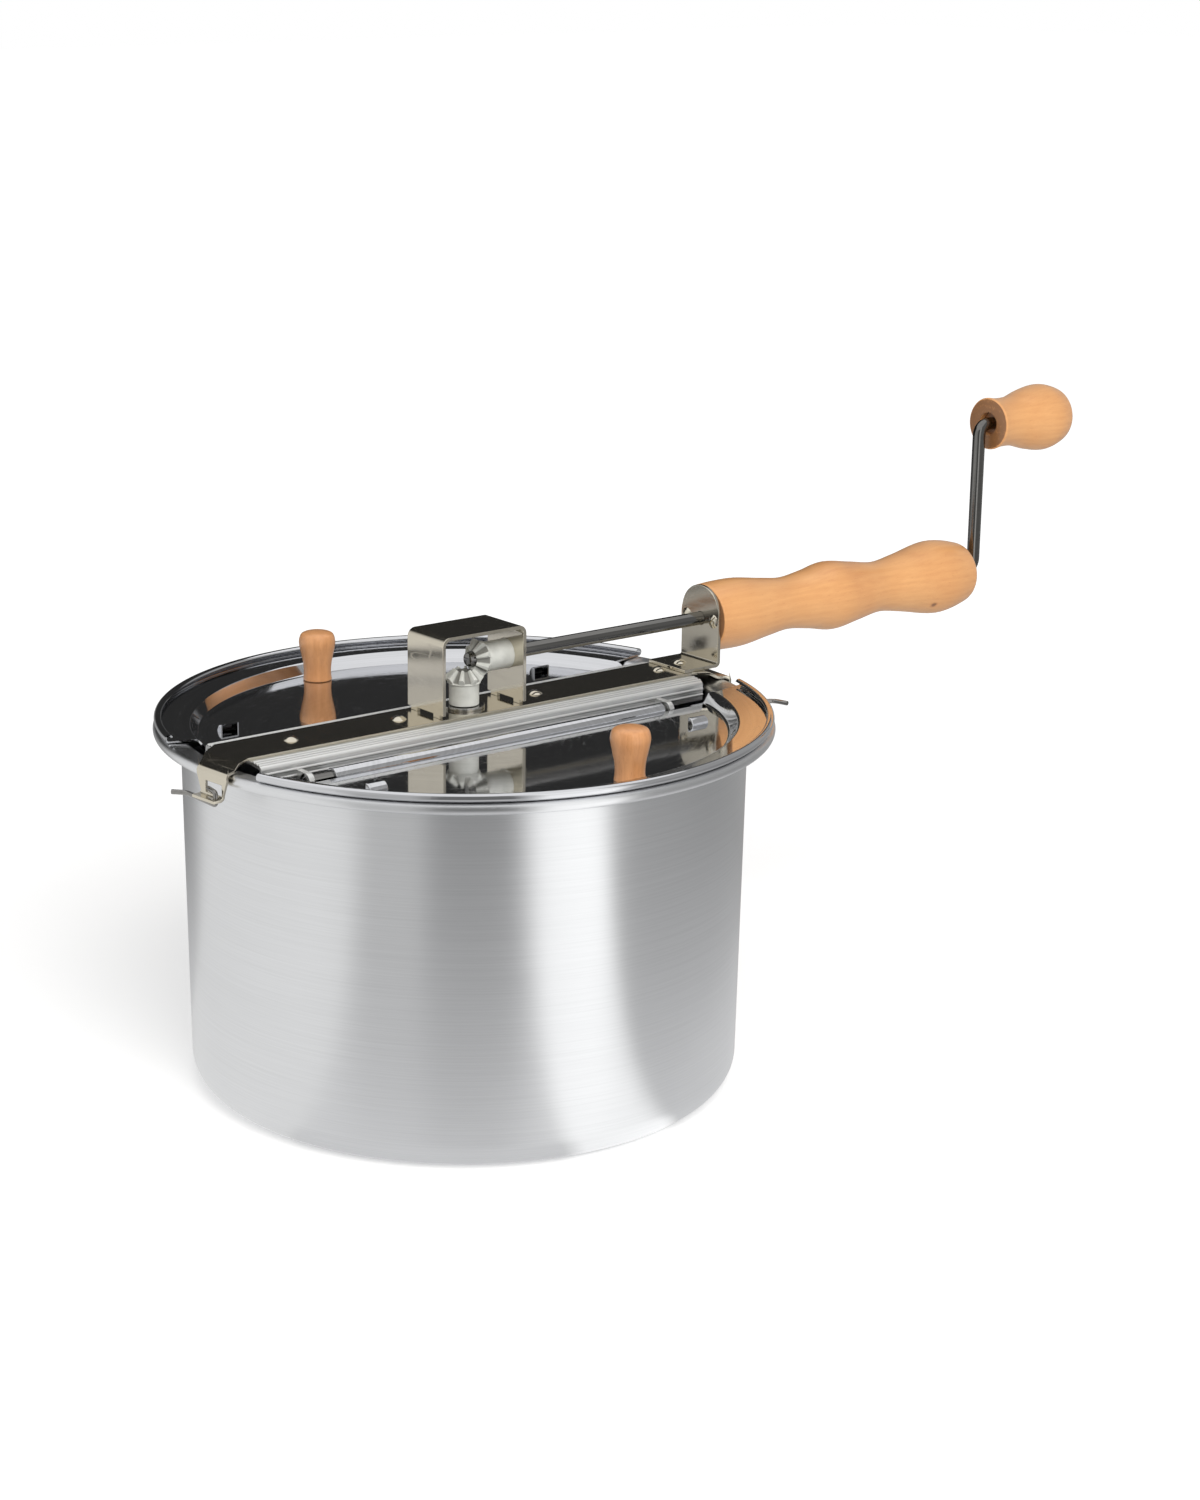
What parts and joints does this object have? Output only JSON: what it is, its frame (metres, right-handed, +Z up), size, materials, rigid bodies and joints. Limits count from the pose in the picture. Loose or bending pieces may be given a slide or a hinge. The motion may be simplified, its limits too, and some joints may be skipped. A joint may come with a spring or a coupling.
{
  "type": "stovetop popcorn popper",
  "caption": "Spun aluminium pan with a two-leaf hinged lid, wooden grip and a crank whose bevel gears turn a stirring wire above the floor.",
  "frame": {"origin": "centre of the underside of the pan's base", "axes": "+X along the crank rod to the handle, +Z up from the pan's base"},
  "size_m": [0.4807, 0.254, 0.2587],
  "materials": {
    "spun_aluminium": "satin, spun",
    "satin_aluminium": "satin",
    "polished_aluminium": "mirror polished",
    "nickel_plate": "bright nickel plate",
    "turned_steel": "bright drawn",
    "spring_steel": "drawn wire",
    "varnished_beech": "clear satin varnish",
    "white_nylon": "moulded nylon"
  },
  "bodies": {
    "pan": {"pan": "spun_aluminium"},
    "lid_frame": {"cross_rail": "satin_aluminium", "cross_strap": "nickel_plate", "strap_rivets": "nickel_plate", "handle_bracket_rivet": "nickel_plate", "gear_bracket": "nickel_plate", "shaft_bush": "turned_steel", "handle_bracket": "nickel_plate", "handle_grip": "varnished_beech", "handle_screws": "nickel_plate", "front_hinge_rod": "turned_steel", "rear_hinge_rod": "turned_steel"},
    "front_lid": {"front_lid_panel": "polished_aluminium", "front_lid_knob": "varnished_beech", "front_knob_screw": "turned_steel", "front_knob_washer": "turned_steel"},
    "rear_lid": {"rear_lid_panel": "polished_aluminium", "rear_lid_knob": "varnished_beech", "rear_knob_screw": "turned_steel", "rear_knob_washer": "turned_steel"},
    "crank": {"crank_rod": "turned_steel", "drive_gear": "white_nylon", "crank_rod_cap": "turned_steel"},
    "crank_knob": {"crank_knob": "varnished_beech"},
    "stirrer": {"driven_gear": "white_nylon", "stirrer_shaft": "turned_steel", "shaft_collar": "turned_steel", "stirrer_wire": "turned_steel"},
    "left_clip": {"left_clip": "spring_steel"},
    "right_clip": {"right_clip": "spring_steel"}
  },
  "joints": [
    {"name": "lid_lift", "type": "slide", "parent": "pan", "child": "lid_frame", "axis": [0, 0, 1], "range_m": [0, 0.17]},
    {"name": "front_lid_hinge", "type": "hinge", "parent": "lid_frame", "child": "front_lid", "pos_m": [0, -0.0262, 0.1473], "axis": [-1, 0, 0], "range_deg": [0, 80]},
    {"name": "rear_lid_hinge", "type": "hinge", "parent": "lid_frame", "child": "rear_lid", "pos_m": [0, 0.0262, 0.1473], "axis": [1, 0, 0], "range_deg": [0, 80]},
    {"name": "crank_spin", "type": "hinge", "parent": "lid_frame", "child": "crank", "pos_m": [0, 0, 0.1759], "axis": [1, 0, 0], "continuous": true},
    {"name": "crank_knob_spin", "type": "hinge", "parent": "crank", "child": "crank_knob", "pos_m": [0.3, 0, 0.2434], "axis": [1, 0, 0], "continuous": true},
    {"name": "stirrer_spin", "type": "hinge", "parent": "lid_frame", "child": "stirrer", "pos_m": [0, 0, 0.1], "axis": [0, 0, 1], "continuous": true},
    {"name": "left_clip_turn", "type": "hinge", "parent": "lid_frame", "child": "left_clip", "pos_m": [-0.1294, -0.01594, 0.145], "axis": [0, 0, 1], "range_deg": [-27, 75]},
    {"name": "right_clip_turn", "type": "hinge", "parent": "lid_frame", "child": "right_clip", "pos_m": [0.1294, -0.01594, 0.145], "axis": [0, 0, 1], "range_deg": [-15, 149]}
  ],
  "couplings": [
    {"joint": "stirrer_spin", "follows": "crank_spin", "ratio": 1}
  ]
}
